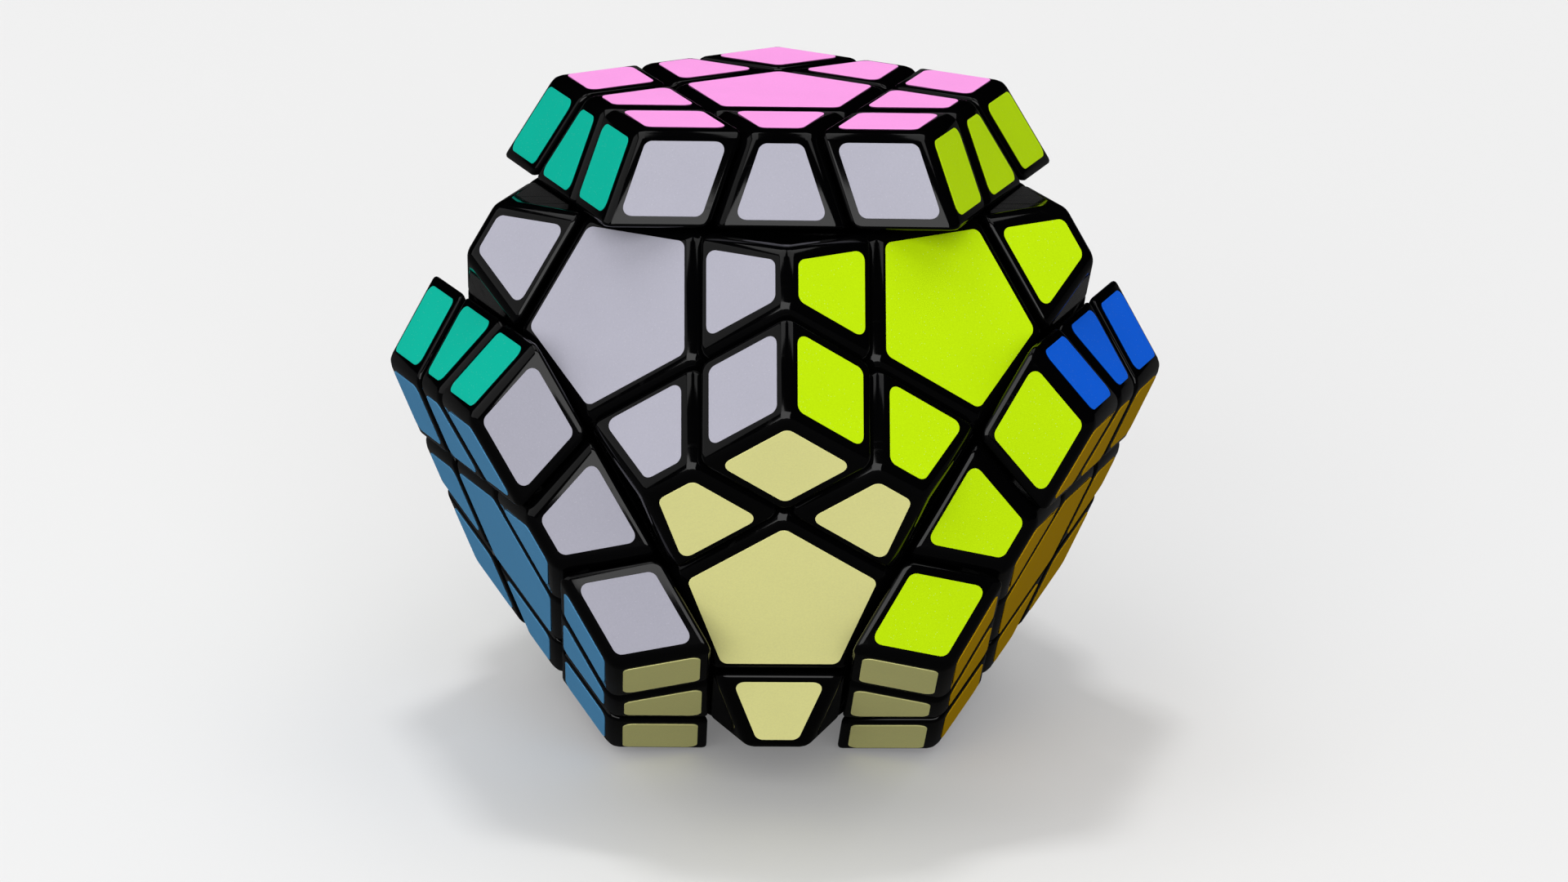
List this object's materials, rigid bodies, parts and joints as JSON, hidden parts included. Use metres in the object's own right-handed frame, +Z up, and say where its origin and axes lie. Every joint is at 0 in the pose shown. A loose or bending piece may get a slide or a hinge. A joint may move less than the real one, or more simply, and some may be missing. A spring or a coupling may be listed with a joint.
{
  "type": "dodecahedron twisty puzzle",
  "caption": "Dodecahedron twisty puzzle of glossy black plastic with coloured stickers on every face; three faces stand part-turned and spin about axes through its core.",
  "frame": {"origin": "centre of the core, where all the turning axes meet", "axes": "+Z up as the puzzle rests on three corners, -Y towards the front, +X to the right. The axis of the top face leans back by 7.84 degrees"},
  "size_m": [0.0868, 0.0828, 0.0771],
  "materials": {
    "black_plastic": "glossy moulded plastic with rounded edges",
    "grey_nylon": "matt moulded plastic",
    "steel": "plated steel",
    "pink_vinyl": "satin vinyl sticker with a fine grain",
    "grey_vinyl": "satin vinyl sticker with a fine grain",
    "lime_vinyl": "satin vinyl sticker with a fine grain",
    "blue_vinyl": "satin vinyl sticker with a fine grain",
    "red_vinyl": "satin vinyl sticker with a fine grain",
    "teal_vinyl": "satin vinyl sticker with a fine grain",
    "cream_vinyl": "satin vinyl sticker with a fine grain",
    "gold_vinyl": "satin vinyl sticker with a fine grain",
    "white_vinyl": "satin vinyl sticker with a fine grain",
    "green_vinyl": "satin vinyl sticker with a fine grain",
    "sky_vinyl": "satin vinyl sticker with a fine grain",
    "purple_vinyl": "satin vinyl sticker with a fine grain"
  },
  "bodies": {
    "main_body": {"core": "grey_nylon", "screws": "steel", "springs": "steel", "washers": "steel", "main_centre_lids": "black_plastic", "main_centre_bases": "black_plastic", "main_edge_shells": "black_plastic", "main_edge_feet": "black_plastic", "main_corner_shells": "black_plastic", "main_corner_feet": "black_plastic", "main_grey_stickers": "grey_vinyl", "main_lime_stickers": "lime_vinyl", "main_blue_stickers": "blue_vinyl", "main_red_stickers": "red_vinyl", "main_teal_stickers": "teal_vinyl", "main_cream_stickers": "cream_vinyl", "main_white_stickers": "white_vinyl", "main_green_stickers": "green_vinyl", "main_purple_stickers": "purple_vinyl"},
    "top_layer": {"top_centre_lid": "black_plastic", "top_centre_base": "black_plastic", "top_edge_shells": "black_plastic", "top_edge_feet": "black_plastic", "top_corner_shells": "black_plastic", "top_corner_feet": "black_plastic", "top_pink_stickers": "pink_vinyl", "top_grey_stickers": "grey_vinyl", "top_lime_stickers": "lime_vinyl", "top_blue_stickers": "blue_vinyl", "top_red_stickers": "red_vinyl", "top_teal_stickers": "teal_vinyl"},
    "left_layer": {"left_centre_lid": "black_plastic", "left_centre_base": "black_plastic", "left_edge_shells": "black_plastic", "left_edge_feet": "black_plastic", "left_corner_shells": "black_plastic", "left_corner_feet": "black_plastic", "left_sky_stickers": "sky_vinyl", "left_grey_stickers": "grey_vinyl", "left_teal_stickers": "teal_vinyl", "left_cream_stickers": "cream_vinyl", "left_green_stickers": "green_vinyl", "left_purple_stickers": "purple_vinyl"},
    "right_layer": {"right_centre_lid": "black_plastic", "right_centre_base": "black_plastic", "right_edge_shells": "black_plastic", "right_edge_feet": "black_plastic", "right_corner_shells": "black_plastic", "right_corner_feet": "black_plastic", "right_gold_stickers": "gold_vinyl", "right_lime_stickers": "lime_vinyl", "right_blue_stickers": "blue_vinyl", "right_cream_stickers": "cream_vinyl", "right_white_stickers": "white_vinyl", "right_purple_stickers": "purple_vinyl"}
  },
  "joints": [
    {"name": "top_turn", "type": "hinge", "parent": "main_body", "child": "top_layer", "pos_m": [0, 0, 0], "axis": [0, 0.1363, 0.9907], "continuous": true},
    {"name": "left_turn", "type": "hinge", "parent": "main_body", "child": "left_layer", "pos_m": [0, 0, 0], "axis": [-0.8507, -0.3348, -0.4054], "continuous": true},
    {"name": "right_turn", "type": "hinge", "parent": "main_body", "child": "right_layer", "pos_m": [0, 0, 0], "axis": [0.8507, -0.3348, -0.4054], "continuous": true}
  ]
}
